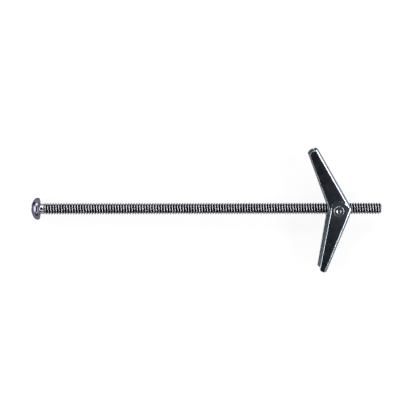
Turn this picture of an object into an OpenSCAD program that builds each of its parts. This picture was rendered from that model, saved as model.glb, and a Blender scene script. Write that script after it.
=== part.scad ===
// Spring toggle bolt: a slotted round head machine screw, a barrel nut that runs on it, and two
// folded sheet wings that turn on the nut's trunnions and are pushed open by a wire spring.
// Millimetres. The origin is the centre of the face under the screw head. +X runs along the
// screw to its point, and the wings turn about an axis along Z. The bolt lies on its side.

/* [Screw] */
// Length from the face under the head to the point
screw_length = 101.2; // [97:0.1:160]
// Diameter over the thread's crests
thread_d = 3.45; // [3:0.05:3.8]
// Pitch of the thread, 32 to the inch
thread_pitch = 0.794; // [0.7:0.002:1]
// Depth of the thread, from its crests to its roots
thread_depth = 0.42; // [0.3:0.01:0.45]
// Width of the flat on a crest
crest_flat = 0.16; // [0.08:0.01:0.18]
// Least length of the plain neck under the head
neck_length = 1; // [0.8:0.1:4]
// Diameter of the plain neck
neck_d = 3.0; // [2.4:0.05:3.4]
// Radius of the fillet where the neck meets the head
neck_fillet = 0.4; // [0.1:0.05:0.6]
// Length of the cone that starts the thread at the point
point_length = 0.5; // [0.2:0.05:1]
// Diameter of the flat end of the point
point_d = 2.5; // [1.8:0.05:3]

/* [Screw head] */
// Diameter of the head
head_d = 6.5; // [6:0.05:8]
// Height of the head
head_h = 2.5; // [2.2:0.05:3.5]
// Height of the widest ring of the head above its flat face
head_belt = 0.55; // [0.5:0.05:0.8]
// Radius of the rounded edge round the flat face
head_edge_r = 0.45; // [0.1:0.05:0.45]
// Radius of the head's shoulder, where the crown turns down to the widest ring
head_shoulder_r = 1.3; // [0.9:0.05:1.4]
// Width of the driver slot
slot_w = 1.15; // [0.8:0.05:1.4]
// Depth of the driver slot at the middle of the crown
slot_depth = 1.35; // [0.8:0.05:1.7]
// Angle by which the driver slot stands round the screw from the line of the trunnions
slot_turn = 45; // [0:5:180]

/* [Barrel nut] */
// Distance from the face under the head to the axis of the trunnions
nut_x = 88; // [60:0.5:92]
// Diameter of the barrel
barrel_d = 5.4; // [5:0.1:5.8]
// Length of the barrel
barrel_length = 4; // [3.9:0.1:5]
// Bevel round the ends of the barrel and round the mouths of its bore
barrel_bevel = 0.2; // [0.05:0.05:0.3]
// Radial gap between the thread's crests and the bore
thread_gap = 0.05; // [0.02:0.01:0.1]
// Diameter of the necks that carry the spring's coils
spool_d = 3.0; // [2.6:0.1:3.2]
// Diameter of the trunnions
trunnion_d = 2.3; // [1.8:0.05:2.5]
// Radial gap between a trunnion and its hole
trunnion_gap = 0.06; // [0.02:0.01:0.1]
// Diameter of the riveted ends
rivet_d = 3.1; // [2.9:0.05:3.6]
// Height of the riveted ends
rivet_h = 0.42; // [0.3:0.02:0.6]
// Diameter of the punch mark in a riveted end
punch_d = 1.6; // [1:0.05:1.8]
// Depth of the punch mark in a riveted end
punch_depth = 0.3; // [0.1:0.02:0.4]

/* [Wings] */
// Thickness of the sheet
sheet = 0.5; // [0.4:0.02:0.6]
// Length of a wing from the trunnion's axis to the corners of its tip
wing_length = 18.7; // [14:0.1:24]
// Distance from the trunnion's axis to the outside of a wing's back
back_offset = 3.8; // [3.4:0.05:4.2]
// Distance from the trunnion's axis to the free edge of a cheek
edge_offset = 2.3; // [1.8:0.05:2.4]
// Height of the outer wing at its tip
outer_tip_height = 2.3; // [1.8:0.05:3.2]
// Height of the inner wing at its tip
inner_tip_height = 3.05; // [2:0.05:3.3]
// How far the rounded tip of a cheek stands out past the tip's corners
tip_bulge = 0.4; // [0.2:0.02:0.7]
// Outside radius of the folds between the back and the cheeks
fold_r = 1.3; // [0.9:0.05:1.4]
// Distance from the trunnion's axis to where the cheeks start to draw together
taper_start = 3.2; // [2.5:0.1:5]
// How far each cheek draws in between there and the tip
taper_in = 0.8; // [0.2:0.05:1]
// How far the centre of the outer wing's round ears lies past the trunnion's axis
outer_ear_shift = 0.6; // [0.1:0.05:0.9]
// How far the centre of the inner wing's round ears lies past the trunnion's axis
inner_ear_shift = 0.3; // [0:0.05:0.4]
// Gap between the inner wing's cheeks and the outer wing's cheeks
cheek_gap = 0.08; // [0.04:0.01:0.15]
// Gap between the ends of the backs, which stop each other
stop_gap = 0.06; // [0.04:0.02:0.1]
// Gap round the screw where it passes between the backs
screw_room = 0.4; // [0.2:0.05:0.6]
// Angle of the open inner wing from square to the screw, swept towards the head
inner_sweep = 30.6; // [22:0.1:36]
// Angle of the open outer wing from square to the screw, swept towards the head
outer_sweep = 20; // [16:0.1:30]

/* [Spring] */
// Diameter of the wire
wire_d = 0.36; // [0.28:0.02:0.42]
// Whole turns in each coil, besides the part turn between its two legs
coil_turns = 1; // [1:1:2]
// Gap between a coil and the neck that carries it
spool_gap = 0.1; // [0.05:0.01:0.2]
// Gap round the wire, between the turns and at the ends of a coil
coil_gap = 0.03; // [0.02:0.01:0.06]
// Length of the legs, from the trunnion's axis to where they press on the backs
leg_length = 6.5; // [5:0.1:9]
// Radius of the bends at the ends of the bridge
bridge_bend_r = 0.6; // [0.4:0.05:0.9]

/* [Hidden] */

$fn = 96;
// Longer than any part of a wing, for cutting shapes that only have to reach past it
beyond = 3 * wing_length;

// Lean of the thread's flanks
flank_angle = 30;

// The spring's legs leave their coil as tangents and end on the insides of the backs.
coil_r = spool_d / 2 + spool_gap + wire_d / 2;
press_offset = back_offset - sheet - wire_d / 2 - coil_gap;
leg_lead = atan2(press_offset, leg_length);
leg_lap = acos(coil_r / norm([leg_length, press_offset]));
upper_leg_angle = 90 + inner_sweep - leg_lead - leg_lap;
lower_leg_angle = leg_lead + leg_lap - 90 - outer_sweep;
coil_wrap = 360 * coil_turns + upper_leg_angle - lower_leg_angle;
coil_rise = (wire_d + coil_gap) * coil_wrap / 360;
coil_start = barrel_length / 2 + coil_gap + wire_d / 2;

// From the barrel outwards along Z: coil, inner wing's cheek, outer wing's cheek, riveted end.
inner_width = barrel_length + 2 * (2 * coil_gap + wire_d + coil_rise + sheet);
outer_width = inner_width + 2 * (cheek_gap + sheet);
spool_end = inner_width / 2 - sheet - cheek_gap / 2;
rivet_start = outer_width / 2 + cheek_gap / 2;
bore_r = thread_d / 2 + thread_gap;

// In a wing's own view X runs from the trunnion to the tip and Y towards the back.
taper_angle = atan(taper_in / (wing_length - taper_start));
stop_sweep = (inner_sweep + outer_sweep) / 2;
// The cheeks are trimmed nearer to that middle plane than the ends of the backs
trim_gap = stop_gap / 2;
// How far the round of a fold would rise above the back
fold_lift = 0.01;
coil_steps = 30;
pass_r = thread_d / 2 + screw_room;

// Where a line at height y above the trunnion meets a plane that stands off the middle plane
// between the backs
function stop_x(y, stand_off) = (stand_off - y * sin(stop_sweep)) / cos(stop_sweep);
// Slope of a cheek's free edge, for the wing's height at its tip
function edge_slope(tip_height) = atan((back_offset - tip_height + edge_offset) / wing_length);
// Radius of an ear that runs smoothly into that free edge
function ear_r(shift, slope) = (edge_offset + shift * tan(slope)) * cos(slope);
// Radius of the arc over a chord, for the height by which it bulges
function arc_r(chord, bulge) = (chord * chord / 4 + bulge * bulge) / (2 * bulge);
function turned(angle) = [cos(angle), sin(angle), 0];
// Points along an arc, with both its ends
function arc(centre, radius, from, to, steps) = [
    for (i = [0 : steps])
        let (angle = from + (to - from) * i / steps)
        centre + radius * [cos(angle), sin(angle)]
];

// ---- Machine screw ----

// Half section of the head: X is the radius, Y the height above the flat face
module head_section() {
    crown_rise = head_h - head_belt;
    shoulder_x = head_d / 2 - head_shoulder_r;
    crown_r = (pow(head_d / 2, 2) + pow(crown_rise, 2) - head_d * head_shoulder_r)
        / (2 * (crown_rise - head_shoulder_r));
    crown_y = head_h - crown_r;
    reach = 2 * crown_r / norm([shoulder_x, head_belt - crown_y]);
    square([head_d / 2 - head_edge_r, head_belt]);
    translate([0, head_edge_r])
        square([head_d / 2, head_belt - head_edge_r]);
    translate([head_d / 2 - head_edge_r, head_edge_r])
        circle(r = head_edge_r);
    intersection() {
        translate([shoulder_x, head_belt])
            circle(r = head_shoulder_r);
        translate([0, head_belt])
            square(head_d);
    }
    intersection() {
        translate([0, crown_y])
            circle(r = crown_r);
        polygon([
            [0, crown_y],
            [reach * shoulder_x, crown_y + reach * (head_belt - crown_y)],
            [0, crown_y + reach * crown_r],
        ]);
        translate([0, head_belt])
            square(head_d);
    }
    polygon([[0, head_belt], [shoulder_x, head_belt], [0, head_h - head_shoulder_r]]);
}

// Half section of neck and threaded length: X is the radius, Y the distance from the head. Even
// grooves at the thread's pitch stand for its helix, counted back from the point.
module shank_section() {
    crest_r = thread_d / 2;
    root_r = crest_r - thread_depth;
    flank = thread_depth * tan(flank_angle);
    run_out = crest_r - neck_d / 2;
    thread_end = screw_length - point_length;
    turns = floor((thread_end - neck_length - run_out - crest_flat) / thread_pitch);
    thread_start = thread_end - turns * thread_pitch - crest_flat;
    groove = [
        [crest_r, crest_flat],
        [root_r, crest_flat + flank],
        [root_r, thread_pitch - flank],
        [crest_r, thread_pitch],
    ];
    polygon(concat(
        [[0, 0], [neck_d / 2, 0], [neck_d / 2, thread_start - run_out], [crest_r, thread_start]],
        [for (i = [0 : turns - 1], p = groove) p + [0, thread_start + i * thread_pitch]],
        [[crest_r, thread_end], [point_d / 2, screw_length], [0, screw_length]]
    ));
    difference() {
        square([neck_d / 2 + neck_fillet, neck_fillet]);
        translate([neck_d / 2 + neck_fillet, neck_fillet])
            circle(r = neck_fillet);
    }
}

module machine_screw() {
    color("gainsboro")
        difference() {
            union() {
                rotate([0, 90, 0])
                    rotate_extrude()
                        shank_section();
                rotate([0, -90, 0])
                    rotate_extrude()
                        head_section();
            }
            rotate([-slot_turn, 0, 0])
                translate([-head_h - 1, -slot_w / 2, -head_d])
                    cube([slot_depth + 1, slot_w, 2 * head_d]);
        }
}

// ---- Barrel nut ----

// Half section of one riveted end: X is the radius, Y the height above its seat
module rivet_section() {
    edge_r = rivet_h / 2;
    punch_r = arc_r(punch_d, punch_depth);
    difference() {
        union() {
            square([rivet_d / 2 - edge_r, rivet_h]);
            translate([rivet_d / 2 - edge_r, rivet_h / 2])
                circle(r = edge_r);
        }
        translate([0, rivet_h - punch_depth + punch_r])
            circle(r = punch_r);
        translate([-rivet_d, 0])
            square([rivet_d, 2 * rivet_h]);
    }
}

module barrel_nut() {
    color("silver")
        translate([nut_x, 0, 0])
            difference() {
                for (side = [0, 1])
                    mirror([0, 0, side]) {
                        rotate_extrude()
                            polygon([
                                [0, 0],
                                [barrel_d / 2, 0],
                                [barrel_d / 2, barrel_length / 2 - barrel_bevel],
                                [barrel_d / 2 - barrel_bevel, barrel_length / 2],
                                [spool_d / 2, barrel_length / 2],
                                [spool_d / 2, spool_end],
                                [trunnion_d / 2, spool_end],
                                [trunnion_d / 2, rivet_start],
                                [0, rivet_start],
                            ]);
                        translate([0, 0, rivet_start])
                            rotate_extrude()
                                rivet_section();
                    }
                rotate([0, 90, 0])
                    cylinder(r = bore_r, h = 2 * barrel_d, center = true);
                for (mouth = [0, 1])
                    mirror([mouth, 0, 0])
                        translate([barrel_d / 2 - barrel_bevel, 0, 0])
                            rotate([0, 90, 0])
                                cylinder(r1 = bore_r, r2 = bore_r + 1, h = 1);
            }
}

// ---- Wings ----

// One side of a folded channel's outline: the wall at half_width and the round fold over it. The
// back cuts across the top of the fold.
module fold_outline(half_width, top, corner_r) {
    fold_y = top - corner_r + fold_lift;
    translate([-beyond, -beyond])
        square([beyond + half_width, beyond + fold_y]);
    translate([-beyond, -beyond])
        square([beyond + half_width - corner_r, 2 * beyond]);
    translate([half_width - corner_r, fold_y])
        circle(r = corner_r);
}

// That outline run along X, turned inwards about the corner where the cheek starts to draw in
module fold_run(half_width, top, corner_r, turn) {
    translate([taper_start, 0, half_width])
        rotate([0, turn, 0])
            translate([0, 0, -half_width])
                rotate([0, -90, 0])
                    linear_extrude(2 * beyond, center = true)
                        fold_outline(half_width, top, corner_r);
}

// The solid inside a skin of the channel: even along the ears, then drawing in to the tip
module channel_block(width, top, corner_r) {
    intersection() {
        translate([-wing_length, top - 2 * wing_length, -width])
            cube([3 * wing_length, 2 * wing_length, 2 * width]);
        fold_run(width / 2, top, corner_r, 0);
        fold_run(width / 2, top, corner_r, taper_angle);
        mirror([0, 0, 1])
            fold_run(width / 2, top, corner_r, 0);
        mirror([0, 0, 1])
            fold_run(width / 2, top, corner_r, taper_angle);
    }
}

// Side view of a cheek. A full ear runs straight from the back to the round of the ear, and a
// relieved one is cut back along the plane that the backs stop at. The outline reaches past the
// back, so that it trims only the back's two ends.
module cheek_outline(tip_height, shift, relieved) {
    slope = edge_slope(tip_height);
    ear = ear_r(shift, slope);
    corner = [stop_x(back_offset - sheet, stop_gap / 2), back_offset];
    reach = corner + [shift, 0];
    full_end = atan2(reach[1], reach[0]) + acos(ear / norm(reach));
    relieved_end = stop_sweep + acos((trim_gap / 2 + shift * cos(stop_sweep)) / ear);
    nose_r = arc_r(tip_height, tip_bulge);
    nose_half = asin(tip_height / 2 / nose_r);
    nose = [wing_length + tip_bulge - nose_r, back_offset - tip_height / 2];
    polygon(concat(
        [corner, corner + [0, sheet], [wing_length, back_offset + sheet]],
        arc(nose, nose_r, nose_half, -nose_half, 8),
        arc([-shift, 0], ear, slope - 90, (relieved ? relieved_end : full_end) - 360, 32),
        relieved ? [[stop_x(back_offset - sheet, trim_gap / 2), back_offset - sheet]] : []
    ));
}

// A folded wing, with the trunnion holes and the notch that lets the screw out between the backs
module wing(width, tip_height, shift, relieved, sweep) {
    pass_x = (pass_r - (back_offset - sheet) * sin(sweep)) / cos(sweep) - pass_r;
    difference() {
        intersection() {
            difference() {
                channel_block(width, back_offset, fold_r);
                channel_block(width - 2 * sheet, back_offset - sheet, fold_r - sheet);
            }
            linear_extrude(2 * width, center = true)
                cheek_outline(tip_height, shift, relieved);
        }
        cylinder(r = trunnion_d / 2 + trunnion_gap, h = 2 * width, center = true);
        translate([pass_x, back_offset - fold_r, 0])
            rotate([-90, 0, 0])
                cylinder(r = pass_r, h = 2 * fold_r);
        translate([pass_x - beyond, back_offset - fold_r, -pass_r])
            cube([beyond, 2 * fold_r, 2 * pass_r]);
    }
}

module outer_wing() {
    color("slategray")
        translate([nut_x, 0, 0])
            rotate([0, 0, 270 - outer_sweep])
                difference() {
                    wing(outer_width, outer_tip_height, outer_ear_shift, false, outer_sweep);
                    // The back is trimmed where it stops against the other, and the ears are left
                    rotate([0, 0, stop_sweep])
                        translate([trim_gap / 2 - beyond, 0, -(inner_width + cheek_gap) / 2])
                            cube([beyond, beyond, inner_width + cheek_gap]);
                }
}

module inner_wing() {
    color("lightslategray")
        translate([nut_x, 0, 0])
            rotate([0, 0, 90 + inner_sweep])
                mirror([0, 1, 0])
                    wing(inner_width, inner_tip_height, inner_ear_shift, true, inner_sweep);
}

// ---- Torsion spring ----

// One station along the wire: its middle, the way the wire runs, and a direction square to it
function leg_point(angle, wind, z) =
    coil_r * turned(angle) + norm([leg_length, press_offset]) * sin(leg_lap) * wind + [0, 0, z];
coil_stations = [
    for (i = [0 : coil_steps])
        let (angle = upper_leg_angle - coil_wrap * i / coil_steps)
        [
            coil_r * turned(angle) + [0, 0, coil_start + coil_rise * i / coil_steps],
            turned(angle - 90),
            turned(angle),
        ]
];
upper_wind = turned(upper_leg_angle + 90);
lower_wind = turned(lower_leg_angle - 90);
bridge_stations = [
    for (turn = [0 : 15 : 90])
        [
            leg_point(upper_leg_angle, upper_wind, coil_start - bridge_bend_r)
                + bridge_bend_r * ((cos(turn) - 1) * upper_wind + [0, 0, sin(turn)]),
            [0, 0, cos(turn)] - sin(turn) * upper_wind,
            turned(upper_leg_angle),
        ]
];
half_wire = concat(
    bridge_stations,
    coil_stations,
    [[
        leg_point(lower_leg_angle, lower_wind, coil_start + coil_rise),
        lower_wind,
        turned(lower_leg_angle),
    ]]
);
mirrored_half = [
    for (i = [len(half_wire) - 1 : -1 : 0])
        let (s = half_wire[i])
        [[s[0][0], s[0][1], -s[0][2]], [-s[1][0], -s[1][1], s[1][2]], s[2]]
];
wire_stations = concat(mirrored_half, half_wire);

// A round wire swept through its stations
module wire(stations, diameter, sides) {
    rings = len(stations);
    points = [
        for (s = stations)
            let (across = cross(s[1], s[2]))
            for (k = [0 : sides - 1])
                s[0] + diameter / 2 * (cos(360 * k / sides) * s[2] + sin(360 * k / sides) * across)
    ];
    skin = [
        for (r = [0 : rings - 2], k = [0 : sides - 1])
            let (next = (k + 1) % sides)
            [r * sides + k, (r + 1) * sides + k, (r + 1) * sides + next, r * sides + next]
    ];
    polyhedron(points, concat(
        [[for (k = [0 : sides - 1]) k]],
        skin,
        [[for (k = [sides - 1 : -1 : 0]) (rings - 1) * sides + k]]
    ));
}

module torsion_spring() {
    color("dimgray")
        translate([nut_x, 0, 0])
            wire(wire_stations, wire_d, 10);
}

machine_screw();
barrel_nut();
outer_wing();
inner_wing();
torsion_spring();
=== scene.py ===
from math import atan2, cos, degrees, pi, radians, sin, tau

import bmesh
import bpy
from mathutils import Matrix, Vector


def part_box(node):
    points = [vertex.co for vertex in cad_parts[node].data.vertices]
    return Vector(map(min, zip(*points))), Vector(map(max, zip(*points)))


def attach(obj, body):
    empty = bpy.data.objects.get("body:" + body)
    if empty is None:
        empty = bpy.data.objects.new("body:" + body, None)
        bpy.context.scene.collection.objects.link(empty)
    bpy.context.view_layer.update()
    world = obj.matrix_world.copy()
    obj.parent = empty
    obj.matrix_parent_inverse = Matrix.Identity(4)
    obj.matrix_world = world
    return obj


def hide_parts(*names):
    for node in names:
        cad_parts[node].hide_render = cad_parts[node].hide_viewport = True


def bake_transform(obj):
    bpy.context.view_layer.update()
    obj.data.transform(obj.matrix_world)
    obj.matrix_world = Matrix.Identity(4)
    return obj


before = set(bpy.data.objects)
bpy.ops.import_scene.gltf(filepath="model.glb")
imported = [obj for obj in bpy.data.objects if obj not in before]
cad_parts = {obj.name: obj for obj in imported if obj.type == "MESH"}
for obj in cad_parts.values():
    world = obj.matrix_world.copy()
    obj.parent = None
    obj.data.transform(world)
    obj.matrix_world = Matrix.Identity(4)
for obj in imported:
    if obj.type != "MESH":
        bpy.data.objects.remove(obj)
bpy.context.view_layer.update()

MM = 0.001

# ---- Machine screw ----
# One piece of steel wire: the round head is upset cold and sawn across for the driver, and the
# thread is rolled up out of the shank from just under the head to the point. It is zinc plated
# all over. Shade is painted into its colour: near black in the thread's grooves, darker on the head.

screw_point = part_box("machine_screw")[1].x
head_top = -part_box("machine_screw")[0].x
head_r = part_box("machine_screw")[1].y
belt = 0.55 * MM
edge_r = 0.45 * MM
edge_steps = 8
shoulder_r = 1.3 * MM
shoulder_steps = 12
# The crown's outline stops a degree short of the axis, where a flat face closes it
crown_end = 179
crown_steps = 16
neck_r = 1.5 * MM
neck_end = 0.6 * MM
neck_fillet = 0.4 * MM
fillet_steps = 6
pitch = 25.4 / 32 * MM
crest_r = 1.725 * MM
crest_round = 0.1 * MM
crest_steps = 5
root_round = 0.12 * MM
root_steps = 2
flank_slope = 60
# How far from the head, in pitches, a crest stands on the inner wing's side
thread_turn = 0.03
thread_start = 0.8 * MM
thread_run_in = 1.0 * MM
point_r = 1.25 * MM
point_length = 0.5 * MM
# Points to one turn of the thread, and how near a cut a point counts as on it
around = 40
on_cut = 1e-9
slot_width = 1.15 * MM
slot_depth = 1.35 * MM
slot_turn = 45
slot_edge_r = 0.06 * MM
# Only edges that turn by more degrees than this are eased: the slot's, not the thread's
slot_eased_from = 55


def new_piece(name, bm):
    """Links a mesh as an object, with faces that all look outwards."""
    bmesh.ops.recalc_face_normals(bm, faces=bm.faces)
    mesh = bpy.data.meshes.new(name)
    bm.to_mesh(mesh)
    bm.free()
    mesh.shade_smooth()
    piece = bpy.data.objects.new(name, mesh)
    bpy.context.scene.collection.objects.link(piece)
    return piece


def join_rings(bm, rings):
    """Faces from each ring of points to the next."""
    for one, other in zip(rings, rings[1:]):
        for j in range(len(one)):
            k = (j + 1) % len(one)
            bm.faces.new((one[j], one[k], other[k], other[j]))


def on_screw(x, radius, share):
    """A point on the screw, share being how far round its axis it is."""
    return (x, radius * cos(tau * share), radius * sin(tau * share))


def arc(centre, radius, start, end, steps):
    """Points along an arc, in degrees, with both its ends."""
    angles = [radians(start + (end - start) * i / steps) for i in range(steps + 1)]
    return [(centre[0] + radius * cos(a), centre[1] + radius * sin(a)) for a in angles]


def head_profile():
    """Distance along the screw and radius, from the neck round the head to near its top."""
    crown_rise = head_top - belt
    crown_r = (head_r**2 + crown_rise**2 - 2 * head_r * shoulder_r) / (2 * (crown_rise - shoulder_r))
    crown_x = crown_r - head_top
    meet = 180 - degrees(atan2(head_r - shoulder_r, crown_x + belt))
    fillet = arc((neck_fillet, neck_r + neck_fillet), neck_fillet, 270, 180, fillet_steps)
    edge = arc((-edge_r, head_r - edge_r), edge_r, 0, 90, edge_steps)
    shoulder = arc((-belt, head_r - shoulder_r), shoulder_r, 90, meet, shoulder_steps)
    crown = arc((crown_x, 0), crown_r, meet, crown_end, crown_steps)
    return fillet + edge + shoulder + crown[1:]


def thread_profile():
    """Distance along the screw and depth, from the middle of a crest to the middle of a root."""
    slope = radians(flank_slope)
    flank = (pitch / 2 - (crest_round + root_round) * sin(slope)) / cos(slope)
    depth = (crest_round + root_round) * (1 - cos(slope)) + flank * sin(slope)
    crest = []
    for i in range(crest_steps + 1):
        lean = slope * i / crest_steps
        crest.append((crest_round * sin(lean), crest_round * (1 - cos(lean))))
    root = []
    for i in range(root_steps, -1, -1):
        lean = slope * i / root_steps
        root.append((pitch / 2 - root_round * sin(lean), depth - root_round * (1 - cos(lean))))
    return crest + root


half_thread = thread_profile()
whole_thread = half_thread + [(pitch - x, depth) for x, depth in half_thread[-2:0:-1]]


def shank_radius(x, depth):
    """Radius of the shank at x, where the full thread is that deep."""
    run_in = min(max((x - thread_start) / thread_run_in, 0), 1)
    run_in = run_in * run_in * (3 - 2 * run_in)
    radius = neck_r + (crest_r - depth - neck_r) * run_in
    cone = point_r + (crest_r - point_r) * max((screw_point - x) / point_length, 0)
    return min(radius, cone)


def threaded_length(bm, start, end, radius):
    """Rows of faces that run with the thread, cut off square at both ends. Returns the ends' rims."""
    step = len(whole_thread)
    first = int(start / pitch - thread_turn) - 1
    last = int(end / pitch - thread_turn) + 1
    rows = []
    for turn in range(first, last):
        for from_crest, depth in whole_thread:
            row = []
            for j in range(around):
                x = pitch * (turn + thread_turn + j / around) + from_crest
                row.append(bm.verts.new(on_screw(x, radius(x, depth), j / around)))
            rows.append(row)
    for i in range(len(rows) - 1):
        for j in range(around - 1):
            bm.faces.new((rows[i][j], rows[i][j + 1], rows[i + 1][j + 1], rows[i + 1][j]))
        if i + 1 + step < len(rows):
            bm.faces.new((rows[i][-1], rows[i + step][0], rows[i + step + 1][0], rows[i + 1][-1]))
    rims = []
    for x, way in ((start, -1), (end, 1)):
        cut = bmesh.ops.bisect_plane(
            bm,
            geom=bm.verts[:] + bm.edges[:] + bm.faces[:],
            dist=on_cut,
            plane_co=(x, 0, 0),
            plane_no=(way, 0, 0),
            clear_outer=True,
        )
        rims.append([e for e in cut["geom_cut"] if isinstance(e, bmesh.types.BMEdge)])
    return rims


bm = bmesh.new()
neck_rim, point_rim = threaded_length(bm, neck_end, screw_point, shank_radius)
bmesh.ops.holes_fill(bm, edges=point_rim)
rings = []
for x, radius in head_profile():
    rings.append([bm.verts.new(on_screw(x, radius, j / around)) for j in range(around)])
join_rings(bm, rings)
bm.faces.new(rings[-1])
first_ring = [bm.edges.get((rings[0][j], rings[0][(j + 1) % around])) for j in range(around)]
bmesh.ops.bridge_loops(bm, edges=neck_rim + first_ring)
screw = new_piece("screw_with_rolled_thread", bm)


def cut_away(piece, tool):
    """Cuts the tool's shape out of a piece, and removes the tool."""
    cut = piece.modifiers.new("cut", "BOOLEAN")
    cut.operation = "DIFFERENCE"
    cut.solver = "EXACT"
    cut.object = tool
    bpy.context.view_layer.update()
    evaluated = piece.evaluated_get(bpy.context.evaluated_depsgraph_get())
    mesh = bpy.data.meshes.new_from_object(evaluated)
    piece.modifiers.remove(cut)
    piece.data = mesh
    bpy.data.objects.remove(tool)


def ease_edges(piece, width, eased_from=None):
    """Rounds a piece's sharp edges, or only its marked ones in the last of its materials, and
    keeps its flat faces flat to the eye."""
    ease = piece.modifiers.new("eased edges", "BEVEL")
    ease.width = width
    ease.segments = 3
    if eased_from is None:
        ease.limit_method = "WEIGHT"
        ease.offset_type = "ABSOLUTE"
        ease.use_clamp_overlap = False
        ease.material = len(piece.data.materials) - 1
    else:
        ease.limit_method = "ANGLE"
        ease.angle_limit = radians(eased_from)
    flat = piece.modifiers.new("flat faces", "WEIGHTED_NORMAL")
    flat.weight = 100


bm = bmesh.new()
# The saw's width and depth are the slot's, and it is long enough to pass right through the head
saw = Matrix.Diagonal((2 * slot_depth, slot_width, 3 * head_r, 1))
turned = Matrix.Rotation(radians(-slot_turn), 4, "X")
bmesh.ops.create_cube(bm, size=1, matrix=turned @ Matrix.Translation((-head_top, 0, 0)) @ saw)
cut_away(screw, new_piece("slot_tool", bm))
ease_edges(screw, slot_edge_r, slot_eased_from)


class Value:
    """A number, colour or vector that runs through a finish's nodes."""

    def __init__(self, finish, socket):
        self.finish = finish
        self.socket = socket

    def combined(self, operation, other):
        """This value and another through a Math node."""
        return self.finish.node("ShaderNodeMath", {"operation": operation}, {0: self, 1: other})

    def __add__(self, other):
        return self.combined("ADD", other)

    def __mul__(self, other):
        return self.combined("MULTIPLY", other)

    __radd__ = __add__
    __rmul__ = __mul__


class Finish:
    """A material whose nodes are made as they are named."""

    def __init__(self, name):
        self.material = bpy.data.materials.new(name)
        self.material.use_nodes = True
        self.tree = self.material.node_tree
        self.surface = self.tree.nodes["Principled BSDF"]

    def node(self, kind, settings=None, inputs=None, output=0):
        """Adds a node, its settings first, then what its sockets are given."""
        made = self.tree.nodes.new(kind)
        for key, value in (settings or {}).items():
            if key == "stops":
                ramp = made.color_ramp
                while len(ramp.elements) < len(value):
                    ramp.elements.new(0.5)
                for element, (place, colour) in zip(ramp.elements, value):
                    element.position = place
                    element.color = (*colour, 1)
            else:
                setattr(made, key, value)
        for key, value in (inputs or {}).items():
            self.feed(made.inputs[key], value)
        return Value(self, made.outputs[output])

    def feed(self, socket, value):
        """Links a value to a socket, or sets the socket to a number or colour."""
        if isinstance(value, Value):
            self.tree.links.new(value.socket, socket)
        elif isinstance(value, tuple) and len(value) == 3 and socket.type == "RGBA":
            socket.default_value = (*value, 1)
        else:
            socket.default_value = value

    def set(self, **inputs):
        """Feeds the surface's own sockets."""
        for key, value in inputs.items():
            self.feed(self.surface.inputs[key.replace("_", " ")], value)

    def place(self):
        """Where a point is in the part's own frame, in metres."""
        return self.node("ShaderNodeTexCoord", output="Object")

    def part_of(self, vector, axis):
        """One axis of a vector."""
        return self.node("ShaderNodeSeparateXYZ", {}, {0: vector}, output=axis)

    def noise(self, waves, detail):
        """Smooth random values from 0 to 1, with about that many waves a metre."""
        return self.node(
            "ShaderNodeTexNoise", {}, {"Vector": self.place(), "Scale": waves, "Detail": detail}
        )

    def ranged(self, value, start, end, before, after, between="LINEAR"):
        """A value that goes from before to after as another goes from start to end."""
        return self.node(
            "ShaderNodeMapRange",
            {"interpolation_type": between},
            {0: value, 1: start, 2: end, 3: before, 4: after},
        )

    def mixed(self, share, one, other):
        """A colour between two, other where share is 1."""
        return self.node("ShaderNodeMix", {"data_type": "RGBA"}, {0: share, 6: one, 7: other}, output=2)

    def uneven(self, strength, height, waves, detail):
        """A surface with low waves in it, of about that height."""
        return self.node(
            "ShaderNodeBump",
            {},
            {"Strength": strength, "Distance": height, "Height": self.noise(waves, detail)},
        )


cloud_waves = 420
cloud_stops = [(0.38, (0, 0, 0)), (0.64, (1, 1, 1))]
smear_waves = 900
smear_rough = 0.1
plating_waves_height = 0.02 * MM
# Painted shade: a darker colour for the head, and a near-black one for the thread's grooves
head_shade_colour = (0.18, 0.17, 0.23)
groove_shade_colour = (0.035, 0.033, 0.042)


def zinc(name, pale, blue, edge, rough, grain, uneven, groove_shade=None, head_shade=None, dull=None):
    """Bright zinc plating: cloudy, faintly blue where its passivation is thicker, with painted shade
    darkening it where asked.
    """
    finish = Finish(name)
    clouds = finish.node(
        "ShaderNodeValToRGB", {"stops": cloud_stops}, {0: finish.noise(cloud_waves, detail=3)}
    )
    colour = finish.mixed(clouds, pale, blue)
    roughness = rough + smear_rough * finish.noise(smear_waves, detail=3)
    if dull is not None:
        roughness = roughness + dull(finish)
    # Painted shade: the colour is darkened on the head and in the thread's grooves where asked
    if head_shade is not None:
        colour = finish.mixed(head_shade(finish), colour, head_shade_colour)
    if groove_shade is not None:
        colour = finish.mixed(groove_shade(finish), colour, groove_shade_colour)
    finish.set(
        Base_Color=colour,
        Metallic=1.0,
        Specular_Tint=edge,
        Roughness=roughness,
        Normal=finish.uneven(uneven, plating_waves_height, grain, detail=4),
    )
    return finish.material


# The head's painted shade fades out over this length under it. The painted shade in the grooves
# starts and is full at these depths under the crests, and stops this far short of the point.
head_shade_fade = 1 * MM
groove_shade_starts = 0.06 * MM
groove_shade_full = 0.2 * MM
groove_shade_stop = 0.1 * MM


def painted_head_shade(finish):
    """1 on the head, where shade is painted darker into the colour."""
    return finish.ranged(finish.part_of(finish.place(), "X"), 0, head_shade_fade, 1.0, 0.0)


def painted_groove_shade(finish):
    """1 in the thread's grooves, where shade is painted dark, 0 on its crests and on the neck and head.
    """
    place = finish.place()
    flat = finish.node("ShaderNodeVectorMath", {"operation": "MULTIPLY"}, {0: place, 1: (0, 1, 1)})
    radius = finish.node("ShaderNodeVectorMath", {"operation": "LENGTH"}, {0: flat}, output="Value")
    deep = finish.ranged(radius, crest_r - groove_shade_full, crest_r - groove_shade_starts, 1.0, 0.0, "SMOOTHSTEP")
    x = finish.part_of(place, "X")
    begun = finish.ranged(x, thread_start, thread_start + thread_run_in, 0.0, 1.0)
    ended = finish.ranged(x, screw_point - point_length, screw_point - groove_shade_stop, 1.0, 0.0)
    return deep * begun * ended


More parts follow.
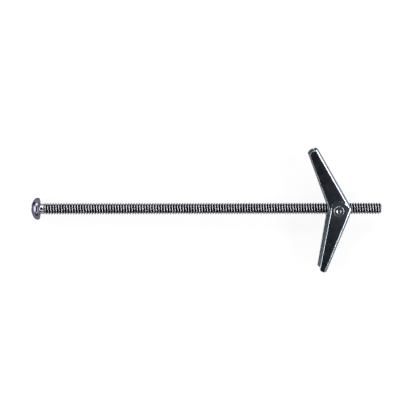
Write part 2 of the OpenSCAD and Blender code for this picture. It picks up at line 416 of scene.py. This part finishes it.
screw_zinc = zinc(
    "screw_zinc",
    pale=(0.55, 0.56, 0.57),
    blue=(0.44, 0.46, 0.52),
    edge=(0.3, 0.28, 0.34),
    rough=0.2,
    grain=6000,
    uneven=0.08,
    # Painted shade: near black in the grooves, darker on the head
    groove_shade=painted_groove_shade,
    head_shade=painted_head_shade,
)
screw.data.materials.clear()
screw.data.materials.append(screw_zinc)
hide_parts("machine_screw")
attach(screw, "screw")

# ---- Barrel nut ----
# A turned steel barrel with a threaded hole across it, zinc plated. Its ends are turned down to
# carry the spring, then the wings, and the tips are riveted over with a pointed punch.

nut_middle = 88 * MM
nut_half = 2.9 * MM
nut_bore_r = 1.775 * MM
nut_groove_r = 1.95 * MM
nut_thread_half = 1.5 * MM
# The tap's thread is shallower than the screw's, and draws in past the bore at the mouths
tap_share = 0.7
tap_draw_in = 2 * (nut_groove_r - nut_bore_r)
nut_edge_r = 0.04 * MM
nut_eased_from = 40
# Points nearer than this are one point, and faces that turn by fewer degrees are one face
same_point = 0.003 * MM
same_face = 0.4
nut_zinc = zinc(
    "nut_zinc",
    pale=(0.34, 0.35, 0.36),
    blue=(0.25, 0.27, 0.33),
    edge=(0.2, 0.2, 0.22),
    rough=0.2,
    grain=5000,
    uneven=0.15,
)


def cad_copy(node, name):
    """A piece with a CAD node's shape, its flat faces whole."""
    bm = bmesh.new()
    bm.from_mesh(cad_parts[node].data)
    bmesh.ops.remove_doubles(bm, verts=bm.verts, dist=same_point)
    bmesh.ops.dissolve_limit(bm, angle_limit=radians(same_face), verts=bm.verts, edges=bm.edges)
    return new_piece(name, bm)


def tap_radius(x, depth):
    """Radius of the tap, which reaches past the bore with its crests and runs out at the mouths."""
    run_out = min(max((abs(x - nut_middle) - nut_thread_half) / (nut_half - nut_thread_half), 0), 1)
    return nut_groove_r - tap_share * depth - tap_draw_in * run_out


nut = cad_copy("barrel_nut", "tapped_barrel")
bm = bmesh.new()
for rim in threaded_length(bm, nut_middle - nut_half, nut_middle + nut_half, tap_radius):
    bmesh.ops.holes_fill(bm, edges=rim)
cut_away(nut, new_piece("tap", bm))
ease_edges(nut, nut_edge_r, nut_eased_from)
nut.data.materials.clear()
nut.data.materials.append(nut_zinc)
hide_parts("barrel_nut")
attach(nut, "nut")

# ---- Wings ----
# Each is blanked from half millimetre steel strip, folded into a channel that draws in to its
# tip, zinc plated, and hung on the nut by its two ears. Tumbling rounds the cut edges a little,
# and they are painted paler than the sheet's faces as a painted highlight.

cut_edge_r = 0.2 * MM
cut_edge_from = 40
# Where the two backs are mitred to each other, whose short edges stay sharp
mitre_x = 91.45 * MM
mitre_y = 0.5 * MM
mitre_z = (2.0 * MM, 2.3 * MM)
# Faces that look inwards are duller from the first of these distances off the middle on, and
# dullest past the second
dull_from = 1.2 * MM
dull_full = 2.4 * MM
dull_rough = 0.34


def inside_channel(finish):
    """Roughness that is added between the cheeks, where tumbling leaves the sheet dull."""
    facing = finish.node("ShaderNodeTexCoord", output="Normal")
    outwards = finish.part_of(facing, "Z") * finish.part_of(finish.place(), "Z")
    return dull_rough * finish.ranged(outwards, -dull_full, -dull_from, 1.0, 0.0)


wing_zinc = zinc(
    "wing_zinc",
    pale=(0.27, 0.31, 0.32),
    blue=(0.19, 0.215, 0.30),
    edge=(0.29, 0.36, 0.34),
    rough=0.16,
    grain=4000,
    uneven=0.1,
    dull=inside_channel,
)
# Painted highlight: the eased cut edges get a paler zinc, standing in for the glint along them
edge_highlight_zinc = zinc(
    "edge_highlight_zinc",
    pale=(0.56, 0.62, 0.64),
    blue=(0.46, 0.51, 0.58),
    edge=(0.36, 0.42, 0.42),
    rough=0.2,
    grain=4000,
    uneven=0.05,
)


def at_mitre(vertex):
    """Whether a point is on the short edges where the backs are mitred."""
    x, y, z = vertex.co
    return x > mitre_x and abs(y) < mitre_y and mitre_z[0] < abs(z) < mitre_z[1]


def mark_cut_edges(piece):
    """Marks the edges that tumbling rounds."""
    bm = bmesh.new()
    bm.from_mesh(piece.data)
    mark = bm.edges.layers.float.new("bevel_weight_edge")
    for edge in bm.edges:
        sharp = edge.calc_face_angle() > radians(cut_edge_from)
        rounded = sharp and not any(at_mitre(vertex) for vertex in edge.verts)
        edge[mark] = 1.0 if rounded else 0.0
    bm.to_mesh(piece.data)
    bm.free()


def folded_wing(node, name):
    """The wing's sheet with its cut edges eased, hung where its CAD node hangs."""
    wing = cad_copy(node, name)
    mark_cut_edges(wing)
    wing.data.materials.append(wing_zinc)
    # The eased cut edges take the paler zinc, a painted highlight
    wing.data.materials.append(edge_highlight_zinc)
    ease_edges(wing, cut_edge_r)
    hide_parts(node)
    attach(wing, node)


folded_wing("outer_wing", "outer_wing_sheet")
folded_wing("inner_wing", "inner_wing_sheet")

# ---- Torsion spring ----
# One length of hard steel wire, wound before it is fitted and left unplated: a bridge over the
# screw that pushes the inner wing open, a coil on each neck of the nut, and two legs that push
# the outer wing open. The real coils wind up as the wings fold; here they are built once and stay
# put, while the bridge goes with the inner wing and the legs with the outer.

wire_r = 0.16 * MM
wire_sides = 12
coil_r = 1.78 * MM
coil_start = 2.165 * MM
coil_rise = 0.51 * MM
coil_steps = 24
inner_leg_angle = 19.5
outer_leg_angle = -8.9
coil_middle_angle = (inner_leg_angle + outer_leg_angle - 360) / 2
leg = 6.97 * MM
bridge_bend_r = 0.6 * MM
bend_steps = 6
pivot = Vector((nut_middle, 0, 0))


def turned_to(angle):
    """A direction square to the trunnions, in degrees from the screw's point."""
    return Vector((cos(radians(angle)), sin(radians(angle)), 0))


def coil_path(side, start, end):
    """Stations along a coil: the wire's middle, the way it runs, and the way out of the coil."""
    stations = []
    for i in range(coil_steps + 1):
        angle = start + (end - start) * i / coil_steps
        climb = (inner_leg_angle - angle) / (inner_leg_angle - outer_leg_angle + 360)
        height = Vector((0, 0, side * (coil_start + coil_rise * climb)))
        out = turned_to(angle)
        stations.append((pivot + coil_r * out + height, turned_to(angle - 90), out))
    return stations


def inner_leg_path(side):
    """From the middle of the bridge round its bend and down a leg to the coil."""
    out = turned_to(inner_leg_angle)
    away = turned_to(inner_leg_angle + 90)
    foot = pivot + coil_r * out + Vector((0, 0, side * coil_start))
    end = foot + leg * away
    across = Vector((0, 0, side))
    stations = [(end - coil_start * across, across, out)]
    for i in range(bend_steps + 1):
        turn = radians(90 * i / bend_steps)
        bend = end - bridge_bend_r * (away * (1 - cos(turn)) + across * (1 - sin(turn)))
        stations.append((bend, across * cos(turn) - away * sin(turn), out))
    return stations + [(foot, -away, out)]


def outer_leg_path(side):
    """From the coil to the leg's end on the outer wing's back."""
    out = turned_to(outer_leg_angle)
    away = turned_to(outer_leg_angle - 90)
    foot = pivot + coil_r * out + Vector((0, 0, side * (coil_start + coil_rise)))
    return [(foot, away, out), (foot + leg * away, away, out)]


drawn_waves = 2500
steel_rough = 0.28
scuff_rough = 0.15
scuff_waves = 6000
die_line_strength = 0.2
die_line_height = 0.01 * MM
die_line_waves = 12000
spring_steel = Finish("spring_steel")
drawn = spring_steel.noise(drawn_waves, detail=3)
spring_steel.set(
    Base_Color=spring_steel.mixed(drawn, (0.30, 0.29, 0.28), (0.20, 0.195, 0.20)),
    Metallic=1.0,
    Roughness=steel_rough + scuff_rough * spring_steel.noise(scuff_waves, detail=2),
    Normal=spring_steel.uneven(die_line_strength, die_line_height, die_line_waves, detail=2),
)


def wire(name, stations):
    """Round wire along its stations, closed at both ends."""
    bm = bmesh.new()
    turns = [tau * k / wire_sides for k in range(wire_sides)]
    rings = []
    for wire_middle, way, out in stations:
        across = way.cross(out)
        ring = [wire_middle + wire_r * (cos(t) * out + sin(t) * across) for t in turns]
        rings.append([bm.verts.new(point) for point in ring])
    join_rings(bm, rings)
    bm.faces.new(rings[0])
    bm.faces.new(rings[-1])
    piece = new_piece(name, bm)
    for face in (piece.data.polygons[-1], piece.data.polygons[-2]):
        face.use_smooth = False
    piece.data.materials.append(spring_steel.material)
    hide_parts("torsion_spring")
    return piece


far_half = [(point, -way, out) for point, way, out in reversed(inner_leg_path(-1))]
bridge = far_half[:-1] + inner_leg_path(1)[1:]
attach(wire("spring_bridge", bridge), "inner_wing")
for side, place in ((1, "near"), (-1, "far")):
    half_turn = coil_path(side, inner_leg_angle, coil_middle_angle)
    coil = wire("spring_coil_inner_half_" + place, half_turn)
    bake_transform(coil)
    half_turn = coil_path(side, coil_middle_angle, outer_leg_angle - 360)
    coil = wire("spring_coil_outer_half_" + place, half_turn)
    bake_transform(coil)
    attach(wire("spring_leg_" + place, outer_leg_path(side)), "outer_wing")

# ---- Floor, lamps and camera ----
# The bolt lies on its head, the riveted end under it and the tip of the outer wing. The floor is
# a wide round of white paper that sweeps up into a low wall.

# The outer wing's tip is what lies further than this from the screw's axis
tip_from = 10 * MM
settle_rounds = 20


def points_of(node):
    """The points of a CAD node."""
    return [vertex.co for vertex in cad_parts[node].data.vertices]


def furthest(points, way):
    """The point that lies furthest that way."""
    return max(points, key=lambda point: point.dot(way))


head_points = points_of("machine_screw")
rivet_points = points_of("barrel_nut")
tip_points = [point for point in points_of("outer_wing") if point.y < -tip_from]
up = Vector((0, 0, 1))
for _ in range(settle_rounds):
    head = furthest(head_points, -up)
    rivet = furthest(rivet_points, -up)
    tip = furthest(tip_points, -up)
    up = (rivet - tip).cross(head - tip).normalized()
    up = up if up.z > 0 else -up
rest = up.to_track_quat("Z", "Y")

floor_hub_r = 0.05
floor_r = 1.1
floor_sides = 48
sweep_r = 0.12
sweep_steps = 12
wall_top = 0.26
bm = bmesh.new()
sweep = arc((floor_r, sweep_r), sweep_r, 270, 360, sweep_steps)
turns = [tau * j / floor_sides for j in range(floor_sides)]
rings = []
for r, height in [(floor_hub_r, 0)] + sweep + [(floor_r + sweep_r, wall_top)]:
    rings.append([bm.verts.new((r * cos(t), r * sin(t), height)) for t in turns])
join_rings(bm, rings)
bm.faces.new(rings[0])
floor = new_piece("floor", bm)
floor.matrix_world = Matrix.Translation(rivet) @ rest.to_matrix().to_4x4()

# The paper is seen as white, directly and in the metal, and still takes the bolt's shadow
glow_share = 0.9
floor_paper = Finish("floor_paper")
seen = floor_paper.node("ShaderNodeLightPath", output="Is Camera Ray")
for ray in ("Is Glossy Ray", "Is Transmission Ray"):
    seen = seen.combined("MAXIMUM", floor_paper.node("ShaderNodeLightPath", output=ray))
floor_paper.set(Base_Color=(0.9, 0.9, 0.9), Roughness=0.9, Specular_IOR_Level=0.0)
glow = floor_paper.node("ShaderNodeEmission", {}, {"Color": (1, 1, 1), "Strength": 1.0})
lit = Value(floor_paper, floor_paper.surface.outputs[0])
mix = floor_paper.node("ShaderNodeMixShader", {}, {0: glow_share * seen, 1: lit, 2: glow})
floor_paper.feed(floor_paper.tree.nodes["Material Output"].inputs["Surface"], mix)
floor.data.materials.append(floor_paper.material)

room_colour = (0.015, 0.015, 0.016, 1)
world = bpy.data.worlds.new("studio")
bpy.context.scene.world = world
world.use_nodes = True
background = world.node_tree.nodes["Background"]
background.inputs["Color"].default_value = room_colour
background.inputs["Strength"].default_value = 1.0

lamps_aim = Vector((60 * MM, 0, 0))
lamp_distance = 0.45


def softbox(name, azimuth, elevation, width, height, radiance):
    """A soft lamp that faces the bolt from that side, its radiance as that of a white screen."""
    lamp = bpy.data.lights.new(name, "AREA")
    lamp.shape = "RECTANGLE"
    lamp.size = width
    lamp.size_y = height
    lamp.energy = radiance * pi * width * height
    a = radians(azimuth)
    e = radians(elevation)
    back = Vector((cos(a) * cos(e), sin(a) * cos(e), sin(e)))
    holder = bpy.data.objects.new(name, lamp)
    bpy.context.scene.collection.objects.link(holder)
    holder.location = lamps_aim + back * lamp_distance
    holder.rotation_euler = back.to_track_quat("Z", "Y").to_euler()
    holder.visible_camera = False


softbox("right_softbox", azimuth=-2, elevation=29, width=0.48, height=0.12, radiance=13.0)
softbox("left_softbox", azimuth=174, elevation=30, width=0.34, height=0.34, radiance=5.4)
softbox("front_softbox", azimuth=232, elevation=52, width=0.16, height=0.12, radiance=4.0)
softbox("back_softbox", azimuth=98, elevation=30, width=0.56, height=0.16, radiance=7.0)
softbox("top_softbox", azimuth=-20, elevation=64, width=0.18, height=0.18, radiance=0.25)

camera_place = Vector((37.87, 70.49, 327.4)) * MM
camera_aim = Vector((49.63, 0.18, 0)) * MM
camera_roll = radians(0.387)
sensor = 36.0
image_px = 416
focal_px = 1130.8
forward = (camera_aim - camera_place).normalized()
right = forward.cross(Vector((0, 1, 0))).normalized()
above = right.cross(forward)
turned_right = right * cos(camera_roll) + above * sin(camera_roll)
turned_up = turned_right.cross(forward)
facing = Matrix((turned_right, turned_up, -forward)).transposed().to_4x4()
lens = bpy.data.cameras.new("camera")
lens.sensor_width = sensor
lens.lens = sensor * focal_px / image_px
lens.clip_start = 0.01
lens.clip_end = 20
camera = bpy.data.objects.new("camera", lens)
bpy.context.scene.collection.objects.link(camera)
camera.matrix_world = Matrix.Translation(camera_place) @ facing
bpy.context.scene.camera = camera

bpy.context.scene.view_settings.view_transform = "Standard"
